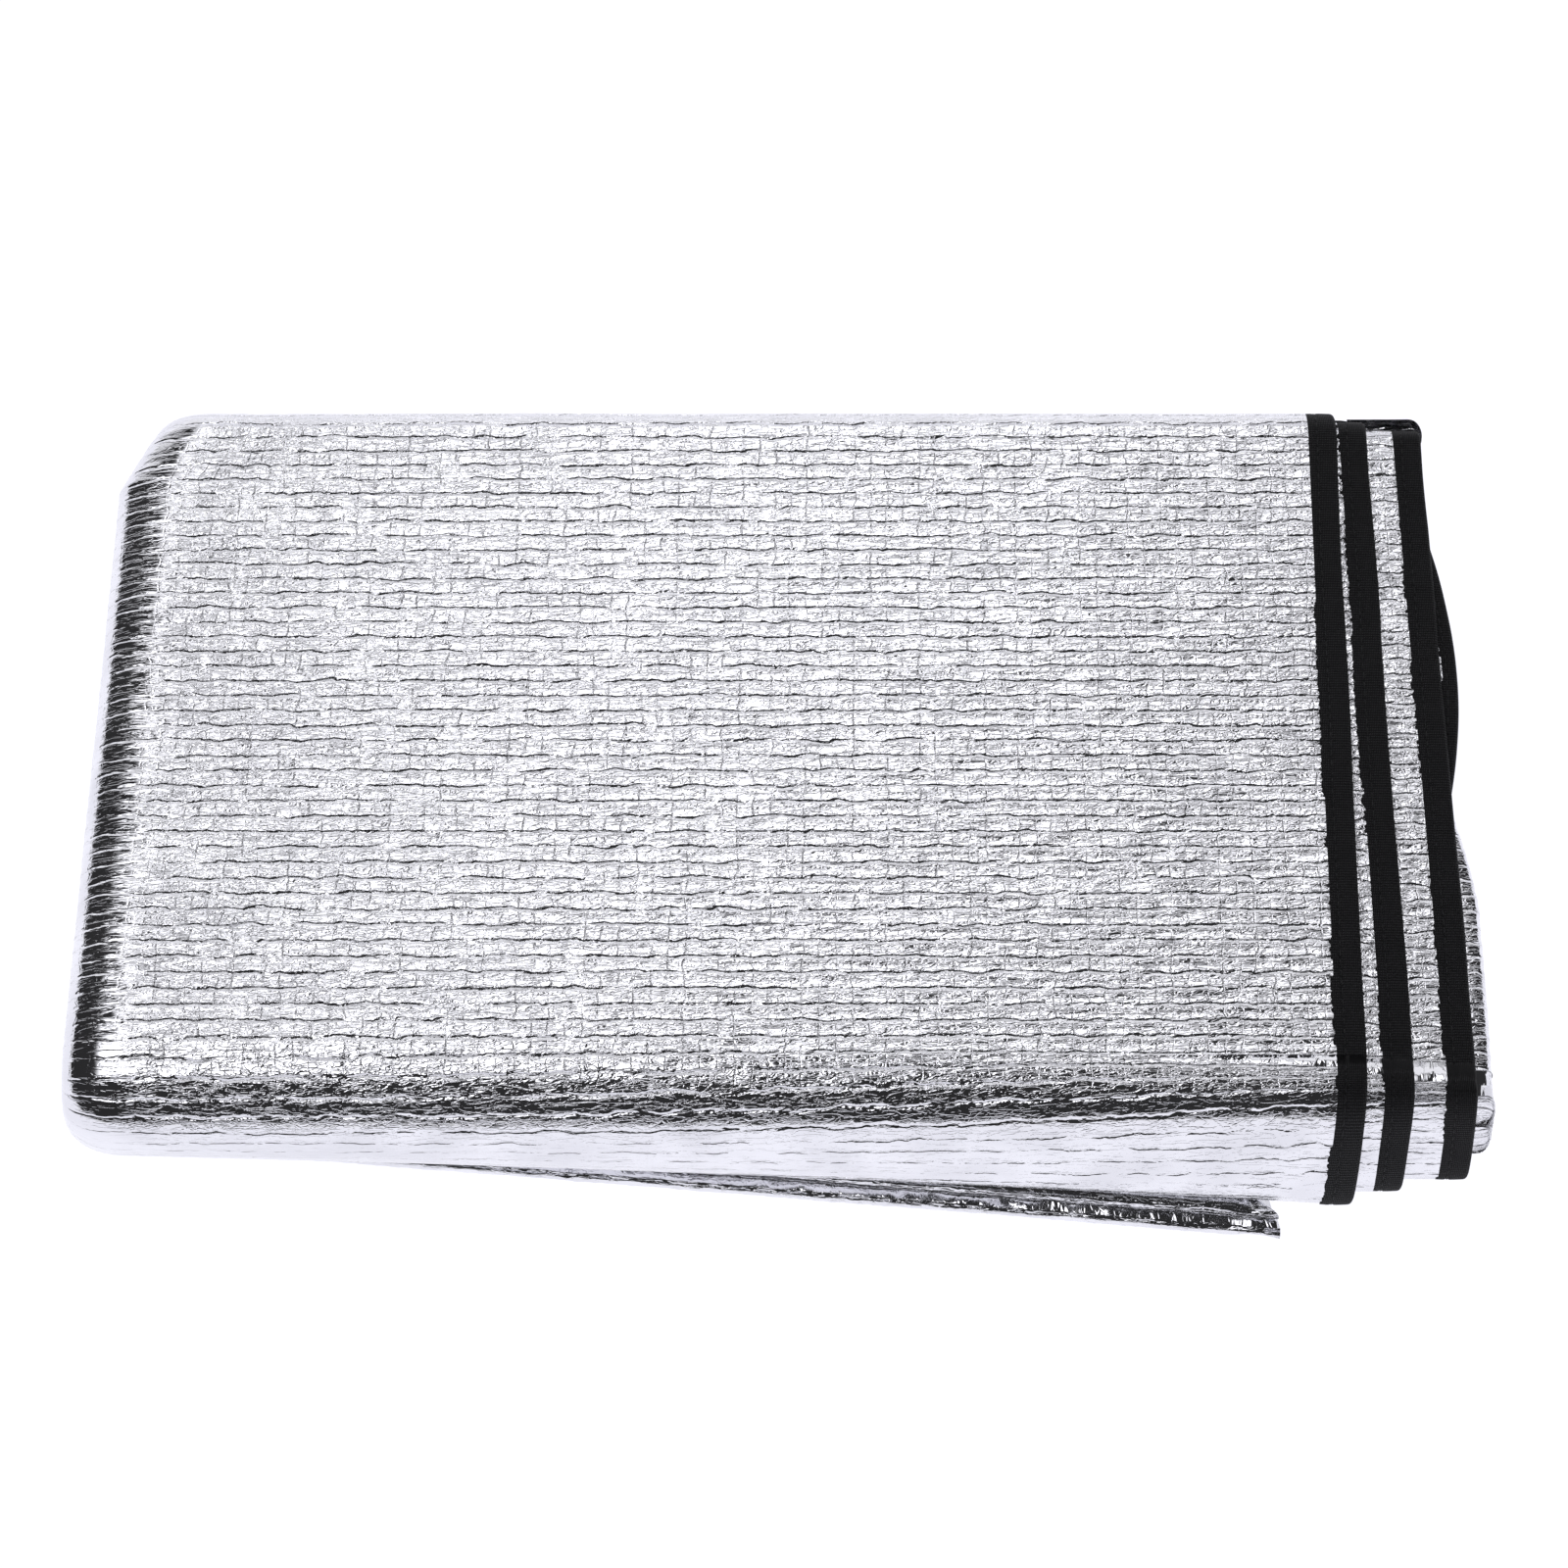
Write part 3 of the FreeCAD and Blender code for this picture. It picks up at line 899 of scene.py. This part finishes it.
    def tape(self, index: int, width: float) -> tuple:
        """The binding of one ply and its stitches.

        Args:
            index: ply, 0 outermost.
            width: width of the tape on the face.

        Returns:
            The tape and its stitching.
        """
        run = self.run
        first = self.start if self.mirrored else 1.35 * self.start
        rows = spaced(first, self.stop if self.mirrored else run.flat + run.wrap, 0.8 * MM)
        t, h, inner = self.tape_profile(width)
        wander = 0.45 * MM * self.relief.broad.octaves(rows / (55 * MM), rows * 0 + 11.0 * index, 2)
        teeth = 0.55 * MM * self.relief.fine.at(rows / (0.9 * MM), rows * 0 + 5.0 * index)
        edge = EDGES[index].x(rows, run) + wander
        x = edge[:, None] + t + inner * teeth[:, None]
        middle = run.half - run.ply * (index + 0.5)
        buckle = 0.22 * MM * self.relief.fine.octaves(rows / (17 * MM), rows * 0 + 40.0 + index, 2)
        radius = middle + h + buckle[:, None]
        c = np.concatenate([[0.0], np.cumsum(np.hypot(np.diff(t), np.diff(h)))])
        points = self.shape(run.place(x, radius, 0.0, rows[:, None]))
        quads = grid_quads(*x.shape, wrap=True, flip=not self.mirrored)
        verts, quads, uv = self.capped(points, quads, film_uv(c, rows[:, None]))
        tape = mesh_object(f"{self.name}_tape_{index + 1}", verts, quads, uv)
        dress(tape, self.finishes.tape)
        self.attach(tape)
        return tape, self.stitches(index, rows, edge - width * 2 / 3, middle + buckle)

    @staticmethod
    def capped(points: Array, quads: Array, uv: Array) -> tuple:
        """Close both ends of a tube of points with triangles to each end's middle.

        Args:
            points: rows by columns by 3.
            quads: the tube's faces.
            uv: one pair for each point.

        Returns:
            Points, faces and UV pairs.
        """
        rows, columns = points.shape[:2]
        middles = points[[0, -1]].mean(axis=1)
        verts = np.concatenate([points.reshape(-1, 3), middles])
        n = rows * columns
        ring = np.arange(columns)
        nxt = (ring + 1) % columns
        outward = quads[0][0] < quads[0][1]
        first = np.stack([ring, nxt, np.full(columns, n)], axis=-1)
        last = np.stack([ring + n - columns, nxt + n - columns, np.full(columns, n + 1)], axis=-1)
        if outward:
            first = first[:, ::-1]
        else:
            last = last[:, ::-1]
        faces = FaceList(quads, np.concatenate([first, last]))
        return verts, faces, np.concatenate([uv, uv[[0, n - 1]]])

    def stitches(self, index: int, rows: Array, x_line: Array, middle: Array) -> Object:
        """A lockstitch in the sunk seam: short spindles, each a lens of six sides.

        Args:
            index: ply, 0 outermost.
            rows: distances along at which the line is known.
            x_line: place of the seam along X.
            middle: distance of the ply's middle from the packet's middle.

        Returns:
            The stitching.
        """
        run = self.run
        centres = np.arange(rows[0] + 3 * MM, rows[-1] - 3 * MM, self.stitch_pitch)
        along = np.linspace(-1.0, 1.0, 6)
        turn = np.linspace(0, 2 * math.pi, 6, endpoint=False)
        girth = 0.32 * MM * np.sqrt(np.clip(1 - along ** 2, 0.02, None))
        length = self.stitch_pitch * 0.42
        s = centres[:, None, None] + along[None, :, None] * length + turn[None, None, :] * 0
        x = np.interp(s, rows, x_line) + girth[None, :, None] * np.cos(turn)
        level = np.interp(s, rows, middle) + run.ply / 2 + TAPE_WALL - 0.2 * MM
        radius = level + girth[None, :, None] * np.sin(turn)
        points = self.shape(run.place(x, radius, 0.0, s))
        quads = grid_quads(len(along), len(turn), wrap=True, flip=self.mirrored)
        each = len(along) * len(turn)
        offsets = np.arange(len(centres))[:, None, None] * each
        piece = mesh_object(f"{self.name}_stitches_{index + 1}", points.reshape(-1, 3),
                            (quads[None] + offsets).reshape(-1, 4))
        dress(piece, self.finishes.thread)
        self.attach(piece)
        return piece

    def closed_fold(self) -> Object:
        """The closed right-hand fold below the bound plies: a half round that swells to the front."""
        run = self.run
        rows = spaced(self.start, self.stop, 1.2 * MM)
        half = run.half / 2
        y = run.back - rows
        outer = 0.2565 + 0.0085 * smooth(-y, 0.0, 60 * MM)
        turn = np.linspace(math.pi / 2, -math.pi / 2, 26)
        reach = 22 * MM
        inward = np.linspace(reach, 0.0, 8)[:-1]
        t = np.concatenate([-inward - half, half * (np.cos(turn) ** 0.5 - 1), -inward[::-1] - half])
        level = np.concatenate([inward * 0, half * (np.sin(turn) - 1), inward * 0 - 2 * half - 0.4 * MM])
        x = outer[:, None] + t
        c = np.concatenate([[0.0], np.cumsum(np.hypot(np.diff(t), np.diff(level)))]) + 0.3
        height = self.relief.at(*np.meshgrid(c, rows)) * np.where(np.abs(t) < half, 1.6, 0.3)
        phi = np.where(level < -1e-9, math.pi, 0.0)
        piece = self.surface(f"{self.name}_closed_fold", x, np.abs(level), phi, rows, c, -height)
        piece.data.flip_normals()
        return self.film(piece)

    def end_face(self, name: str, y: float, facing: float) -> Object:
        """The ends of the plies at an open end: one low ridge for each ply.

        Args:
            name: the piece's name.
            y: place of the end.
            facing: -1 where it looks to the front, 1 to the back.

        Returns:
            The piece.
        """
        run = self.run
        level = spaced(-run.half, run.half, run.ply / 6)
        share = np.linspace(0.0, 1.0, 60)
        ply = np.clip(((run.half - level) / run.ply).astype(int), 0, PLIES - 1)
        edges = np.array([edge.x(np.array([run.flat]), run)[0] for edge in EDGES] + [0.258] * 4) - 2 * MM
        left = run.left - np.sqrt(np.clip(run.half ** 2 - level ** 2, 0.0, None))
        x = left[:, None] + (edges[ply] - left)[:, None] * share
        ridge = 0.5 * MM * np.abs(np.sin(math.pi * (level + run.half) / run.ply))
        py = y + facing * (ridge - 0.7 * MM)
        points = self.shape(points_of(x, py[:, None], (run.middle + level)[:, None]))
        quads = grid_quads(*x.shape, flip=(facing > 0) == self.mirrored)
        piece = mesh_object(name, points.reshape(-1, 3), quads)
        dress(piece, self.finishes.foam)
        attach(piece, self.body)
        return piece


@dataclass
class BottomFlap:
    """The four-ply flap under the pack, its tail in front and the wrap behind it."""

    run: Run
    finishes: Finishes
    lean_left: float = 0.5 * MM
    lean_right: float = 38.5 * MM
    pinch_from: float = 22.0 * MM
    drop: float = 3.2 * MM

    def __post_init__(self) -> None:
        """Read the flap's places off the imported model."""
        low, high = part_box("bottom_outer_film")
        self.low, self.high = low, high
        self.half = (high.z - low.z) / 2
        self.relief = Relief(21)

    def skin(self) -> Object:
        """The flap's film: a loop in the YZ plane carried along X, drawn to a pinched end.

        The loop runs along the top to the tail, round two lips and back along the floor.
        """
        full = self.half
        bend_ends = self.low.x + full
        rows = np.concatenate([spaced(self.low.x, bend_ends, 0.9 * MM),
                               spaced(bend_ends, self.high.x, 2.0 * MM)[1:]])
        bend = np.sqrt(np.clip(1 - ((bend_ends - np.minimum(rows, bend_ends)) / full) ** 2, 0, 1))
        from_end = self.high.x - rows
        pinch = 1 - 0.5 * smooth(-from_end, -self.pinch_from, -9 * MM)
        pinch += 0.42 * smooth(-from_end, -9 * MM, 0.0)
        share = (rows - self.low.x) / (self.high.x - self.low.x)
        nose = (self.low.y - self.lean_left - (self.lean_right - self.lean_left) * share)[:, None]
        top = np.linspace(0.0, 1.0, 150)
        turn = np.linspace(0.0, math.pi, 17)[:-1]
        floor = np.linspace(1.0, 0.0, 24)
        lower = 0.92 * full
        upper = (2 * full - self.drop - lower) / 2
        reach = self.high.y - nose
        ones = np.ones((len(rows), 1))
        y = np.concatenate([self.high.y - reach * top, nose - upper * np.sin(turn) ** 0.8,
                            nose - 4.6 * MM - lower / 2 * np.sin(turn) ** 0.8 + 3 * MM * (turn < 0.1),
                            self.high.y - (reach + 4.6 * MM) * floor], axis=1)
        sag = self.drop * smooth(top * reach, reach - 24 * MM, reach)
        z = np.concatenate([2 * full - sag, ones * (lower + upper + upper * np.cos(turn)),
                            ones * (lower / 2 + lower / 2 * np.cos(turn)), ones * floor * 0], axis=1)
        near = smooth(y, nose + 30 * MM, nose + 8 * MM)
        z = full + (z - full) * bend[:, None] * (1 - (1 - pinch[:, None]) * near)
        v_cut = np.exp(-((y - nose - 5 * MM) / (4.5 * MM)) ** 2) * smooth(-from_end, -16 * MM, 0.0)[:, None]
        v_cut = 8 * MM * v_cut * near
        points = points_of(rows[:, None] - v_cut, y, z)
        c = np.concatenate([top * 0.3, 0.3 + turn * upper, 0.32 + turn * lower / 2, 0.35 + (1 - floor) * 0.3])
        grid = np.meshgrid(rows + 1.0, c, indexing="ij")
        height = self.relief.at(*grid) + self.relief.crumple(*grid) * 0.9 * near
        height[:, :len(top)] = 0.5 * height[:, :len(top)] - 0.8 * MM
        height[:, -len(floor):] = 0.0
        height = height * smooth(bend, 0.0, 0.6)[:, None]
        points = points - surface_normals(points) * height[..., None]
        points = np.concatenate([points, self.notch(points[-1])[None]])
        uv_rows = np.append(rows, rows[-1] + 4 * MM)
        piece = mesh_object("flap_skin", points.reshape(-1, 3), grid_quads(*points.shape[:2]),
                            film_uv(uv_rows[:, None], c))
        weld(piece, 0.02 * MM)
        dress(piece, self.finishes.film)
        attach(piece, BOTTOM)
        return piece

    def notch(self, end: Array) -> Array:
        """The last loop drawn in to a line, so that the right end closes in a V."""
        line = end.copy()
        line[:, 0] -= 6 * MM
        line[:, 2] = self.half
        return line

    def back_wrap(self) -> Object:
        """The half round that joins the flap to the middle packet behind."""
        low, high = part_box("back_wrap_foam")
        radius = (high.z - low.z) / 2 + 0.2 * MM
        rows = spaced(low.x, high.x, 2.5 * MM)
        turn = np.linspace(-math.pi / 2, math.pi / 2, 48)
        c = turn * radius
        ends = smooth(np.minimum(rows - low.x, high.x - rows), -1 * MM, 5 * MM)
        swell = radius * (0.82 + 0.18 * ends)
        y = low.y + swell[:, None] * np.cos(turn)
        z = (low.z + high.z) / 2 + radius * np.sin(turn) + 0 * y
        points = points_of(rows[:, None], y, z)
        height = self.relief.at(*np.meshgrid(rows, c + 2.0, indexing="ij"))
        calm = smooth(np.abs(np.abs(turn) - math.pi / 2), 0.1, 0.5)
        points = points + surface_normals(points) * (height * calm)[..., None]
        verts, faces, uv = PackSide.capped(points, grid_quads(*y.shape), film_uv(rows[:, None], c))
        piece = mesh_object("back_wrap_skin", verts, faces, uv)
        dress(piece, self.finishes.film)
        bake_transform(piece)
        return piece


def end_binding(run: Run, finishes: Finishes) -> Object:
    """The tapes over the plies' ends at the back of the middle packet: stacked rounded bars."""
    low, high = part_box("middle_end_binding")
    tall = (high.z - low.z) / PLIES
    rows = spaced(low.x, high.x, 3.0 * MM)
    turn = np.linspace(math.pi / 2, -math.pi / 2, 9)
    noise = Noise(5)
    verts, faces = [], []
    for ply in range(PLIES):
        wander = 0.5 * MM * noise.octaves(rows / (60 * MM), rows * 0 + 9.0 * ply, 2) - 0.6 * MM
        y = np.concatenate([[low.y], high.y - tall / 2 + tall / 2 * np.cos(turn), [low.y]])
        y = y + wander[:, None] * (y > low.y + 1 * MM)
        z = low.z + tall * (ply + 0.5) + tall / 2 * np.concatenate([[1.0], np.sin(turn), [-1.0]]) + 0 * y
        points = points_of(rows[:, None], y, z)
        faces.append(grid_quads(*y.shape, wrap=True, flip=True) + ply * y.size)
        verts.append(points.reshape(-1, 3))
    verts = np.concatenate(verts)
    uv = verts[:, [2, 0]] / UV_UNIT
    piece = mesh_object("end_tapes", verts, np.concatenate(faces), uv)
    dress(piece, finishes.tape)
    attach(piece, MIDDLE)
    return piece


# ---- studio


@dataclass(frozen=True)
class Studio:
    """Floor, camera and lights."""

    elevation: float = math.radians(63.0)
    distance: float = 1.60
    target: tuple = (0.0, 0.0, 0.0465)
    lens: float = 94.5
    back_top: float = 2.65
    left_top: float = 2.2
    sweep: float = 1.0
    dark: float = 0.03

    def camera(self) -> None:
        """A camera in front of the pack, looking down at it."""
        data = bpy.data.cameras.new("camera")
        data.lens = self.lens
        data.sensor_width = 36.0
        camera = bpy.data.objects.new("camera", data)
        away = (0.0, -math.cos(self.elevation) * self.distance, math.sin(self.elevation) * self.distance)
        camera.location = tuple(t + a for t, a in zip(self.target, away))
        camera.rotation_euler = (math.pi / 2 - self.elevation, 0.0, 0.0)
        bpy.context.scene.collection.objects.link(camera)
        bpy.context.scene.camera = camera

    def floor(self, finishes: Finishes) -> None:
        """A wide pale floor."""
        corners = np.array([[-4, -4, 0], [4, -4, 0], [4, 4, 0], [-4, 4, 0]], float)
        floor = mesh_object("floor", corners, np.array([[0, 1, 2, 3]]))
        floor.data.materials.append(finishes.floor)

    def panel(self, tree: NodeTree, place: tuple, edges: tuple) -> object:
        """A soft-edged lit patch of the sky: a product of smoothsteps.

        Args:
            tree: the world's node tree.
            place: sockets of the direction's X and Y.
            edges: for each side, the axis and where the light starts and is full.

        Returns:
            The patch's mask.
        """
        mask = None
        for axis, start, full in edges:
            step = range_node(tree, place[axis], start, full)
            mask = step if mask is None else value_node(tree, "MULTIPLY", mask, step)
        return mask

    def world(self) -> None:
        """A dark room with a soft panel above and behind, one overhead at the left, and a pale sweep.

        The panels are patches of direction, since a mirror-like film shows their edges.
        """
        world = bpy.data.worlds.new("studio")
        bpy.context.scene.world = world
        world.use_nodes = True
        tree = world.node_tree
        place = tree.nodes.new("ShaderNodeTexCoord").outputs["Generated"]
        split = tree.nodes.new("ShaderNodeSeparateXYZ")
        tree.links.new(place, split.inputs[0])
        axes = (split.outputs[0], split.outputs[1], split.outputs[2])
        panels = (
            (self.back_top, ((0, -0.29, 0.02), (0, 0.31, -0.02), (1, 0.24, 0.52), (1, 0.90, 0.62))),
            (self.left_top, ((0, -0.60, -0.36), (0, 0.01, -0.07), (1, -0.30, -0.22), (1, 0.40, 0.22))),
            (self.sweep, ((1, 0.62, 0.80), (2, 0.62, 0.45))),
        )
        lit = 0.0
        for strength, edges in panels:
            patch = value_node(tree, "MULTIPLY", self.panel(tree, axes, edges), strength)
            lit = value_node(tree, "ADD", patch, lit)
        above = range_node(tree, axes[2], -0.02, 0.06)
        lit = value_node(tree, "ADD", value_node(tree, "MULTIPLY", lit, above), self.dark)
        lit = value_node(tree, "ADD", lit, range_node(tree, axes[2], 0.07, 0.0))
        tree.nodes["Background"].inputs["Color"].default_value = (0.97, 0.97, 1.0, 1.0)
        tree.links.new(lit, tree.nodes["Background"].inputs["Strength"])

    def build(self, finishes: Finishes) -> None:
        """Make the whole studio."""
        self.camera()
        self.floor(finishes)
        self.world()
        bpy.context.scene.view_settings.view_transform = "Standard"


# ---- main


def nodes_named(*beginnings: str) -> list:
    """CAD nodes whose names start with any of the given words."""
    return [name for name in sorted(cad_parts) if name.startswith(beginnings)]


def main() -> None:
    """Build the studio and every piece, and hide the imported parts that each one replaces."""
    logging.basicConfig(level=logging.INFO, format="%(name)s: %(message)s")
    finishes = Finishes()
    Studio().build(finishes)
    run = Run.from_frame()
    for name, body, mirrored in (("top", TOP, False), ("middle", MIDDLE, True)):
        side = PackSide(name, body, replace(run, wraps=not mirrored), finishes, mirrored)
        skin = side.skin()
        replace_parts(skin, f"{name}_outer_film", f"{name}_inner_films", f"{name}_foam_1")
        LOG.info("%s skin: %d faces", name, len(skin.data.polygons))
        for index in range(len(EDGES)):
            width = NARROW_TAPE if index == len(EDGES) - 1 else TAPE_WIDTH
            tape, stitches = side.tape(index, width)
            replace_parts(tape, f"{name}_binding_{index + 1}")
            if not mirrored:
                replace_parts(stitches, f"top_stitching_{index + 1}")
            if index:
                margin = side.margin(index, width)
                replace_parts(margin, f"{name}_foam_{index + 1}")
            LOG.info("%s tape %d: %d faces", name, index + 1, len(tape.data.polygons))
        fold = side.closed_fold()
        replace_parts(fold, f"{name}_right_fold_foam", f"{name}_right_fold_film")
        front = side.end_face(f"{name}_front_end", run.front + 1.8 * MM, -1.0)
        LOG.info("%s end: %d faces", name, len(front.data.polygons))
        if mirrored:
            side.end_face("middle_back_end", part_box("middle_foam_1")[1].y, 1.0)
            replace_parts(stitches, "middle_stitching")
        else:
            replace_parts(skin, *nodes_named("front_wrap", "top_back"))
    tapes = end_binding(run, finishes)
    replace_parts(tapes, "middle_end_binding")
    flap = BottomFlap(run, finishes)
    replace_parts(flap.skin(), *nodes_named("bottom_", "tail_"))
    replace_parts(flap.back_wrap(), *nodes_named("back_wrap"))


if __name__ == "__main__":
    main()
